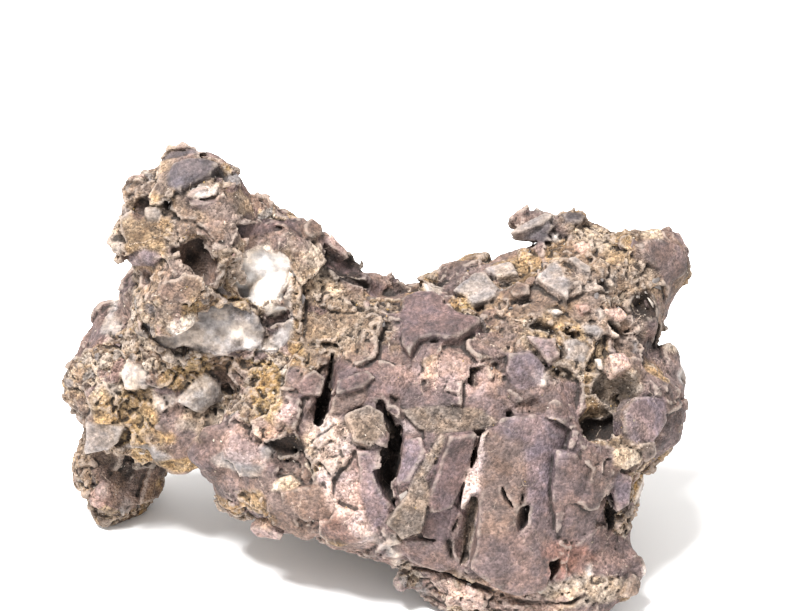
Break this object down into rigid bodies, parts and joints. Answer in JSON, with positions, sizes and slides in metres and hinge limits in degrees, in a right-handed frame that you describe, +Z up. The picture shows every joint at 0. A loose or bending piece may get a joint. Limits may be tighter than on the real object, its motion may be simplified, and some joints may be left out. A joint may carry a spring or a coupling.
{
  "type": "ibigawa stone",
  "caption": "Rugged natural breccia stone with two horns, a saddle between them and an arch under one end, standing on three worn feet, for an aquascape or a stone garden.",
  "frame": {"origin": "middle of the stone's box, on the plane that its three feet stand on", "axes": "+Z up; +X along the stone's length, towards the broad end with the flat-topped horn; -Y towards the face in the picture, with the smooth mauve blocks"},
  "size_m": [0.2176, 0.115, 0.1463],
  "materials": {
    "breccia": "dry, rough and matt: mauve-grey angular fragments in a tan to ochre sandy matrix, with white quartz hollows, pale veins and dark pits"
  },
  "bodies": {
    "root": {"stone": "breccia"}
  },
  "joints": []
}
